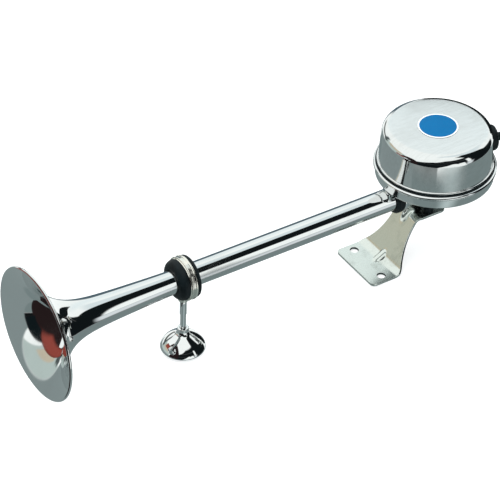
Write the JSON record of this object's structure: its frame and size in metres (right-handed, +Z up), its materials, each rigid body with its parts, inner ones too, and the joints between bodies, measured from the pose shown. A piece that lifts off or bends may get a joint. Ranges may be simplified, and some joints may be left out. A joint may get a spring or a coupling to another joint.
{
  "type": "electric trumpet horn",
  "caption": "Electric trumpet horn for a boat: round motor drum on a bent bracket, a long chromed tube that flares to a bell, and a round foot on a stud under the tube.",
  "frame": {"origin": "midway between the two screw holes of the rear bracket, on the deck plane under its foot", "axes": "+Z up from the deck; -X along the trumpet's axis to the bell's mouth; +Y completes the frame"},
  "size_m": [0.4097, 0.104, 0.1212],
  "materials": {
    "chromed_brass": "polished",
    "chromed_casting": "satin, beads polished",
    "chromed_cover": "satin top and wall, polished shoulder",
    "black_rubber": "matte",
    "blue_label": "gloss, plain blue with a white border",
    "stainless_sheet": "satin",
    "steel": "bright",
    "yellow_zinc": "yellow passivated",
    "soft_iron": "dull",
    "spring_steel": "bright",
    "gasket_fibre": "matte",
    "ivory_plastic": "matte",
    "copper_wire": "enamelled",
    "brown_laminate": "matte",
    "brass": "bright",
    "tan_lacquer": "gloss"
  },
  "bodies": {
    "horn_body": {"trumpet": "chromed_brass", "tube_seal": "black_rubber", "chamber_casting": "chromed_casting", "lower_gasket": "gasket_fibre", "diaphragm": "spring_steel", "upper_gasket": "gasket_fibre", "motor_frame": "yellow_zinc", "flange_screws": "steel", "core": "soft_iron", "core_nut": "yellow_zinc", "coil_bobbin": "ivory_plastic", "coil_winding": "copper_wire", "breaker_block": "brown_laminate", "breaker_pin": "steel", "fixed_contact_bar": "brass", "adjusting_locknut": "yellow_zinc", "terminal_board": "brown_laminate", "terminal_screws": "brass", "coil_leads": "copper_wire", "suppressor": "tan_lacquer", "suppressor_clip": "steel", "cover_seal": "black_rubber", "bracket": "stainless_sheet", "mount_bushes": "black_rubber", "bracket_bolts": "steel", "bracket_washers": "steel"},
    "cover_shell": {"cover": "chromed_cover", "cover_crown": "chromed_cover", "cover_disc": "blue_label", "cable_boot": "black_rubber"},
    "armature_group": {"armature": "soft_iron", "armature_stud": "steel", "clamp_washer": "steel", "striker_disc": "spring_steel"},
    "breaker_lever": {"breaker_arm": "brass"},
    "adjuster": {"adjusting_screw": "steel"},
    "tube_grommet": {"grommet": "black_rubber"},
    "front_support": {"support_ring": "chromed_brass", "support_stud": "chromed_brass"},
    "foot": {"front_foot": "chromed_brass"}
  },
  "joints": [
    {"name": "cover_lift", "type": "slide", "parent": "horn_body", "child": "cover_shell", "axis": [0, 0, 1], "range_m": [0, 0.045]},
    {"name": "armature_stroke", "type": "slide", "parent": "horn_body", "child": "armature_group", "axis": [0, 0, 1], "range_m": [0, 0.0008], "stiffness_N_per_m": 6000, "deforming": ["diaphragm"]},
    {"name": "breaker_swing", "type": "hinge", "parent": "horn_body", "child": "breaker_lever", "pos_m": [0.0526, 0.0255, 0.0867], "axis": [0, -1, 0], "range_deg": [0, 2.33]},
    {"name": "adjuster_turn", "type": "hinge", "parent": "horn_body", "child": "adjuster", "pos_m": [0.0726, 0.0255, 0.1], "axis": [0, 0, 1], "range_deg": [-180, 180]},
    {"name": "grommet_slide", "type": "slide", "parent": "horn_body", "child": "tube_grommet", "axis": [1, 0, 0], "range_m": [-0.001, 0.08]},
    {"name": "support_swing", "type": "hinge", "parent": "tube_grommet", "child": "front_support", "pos_m": [-0.1692, 0, 0.0575], "axis": [1, 0, 0], "range_deg": [-12, 12]},
    {"name": "foot_height", "type": "slide", "parent": "front_support", "child": "foot", "axis": [0, 0, 1], "range_m": [-0.003, 0.0091]}
  ],
  "couplings": [
    {"joint": "breaker_swing", "follows": "armature_stroke", "rad_per_m": 50}
  ]
}
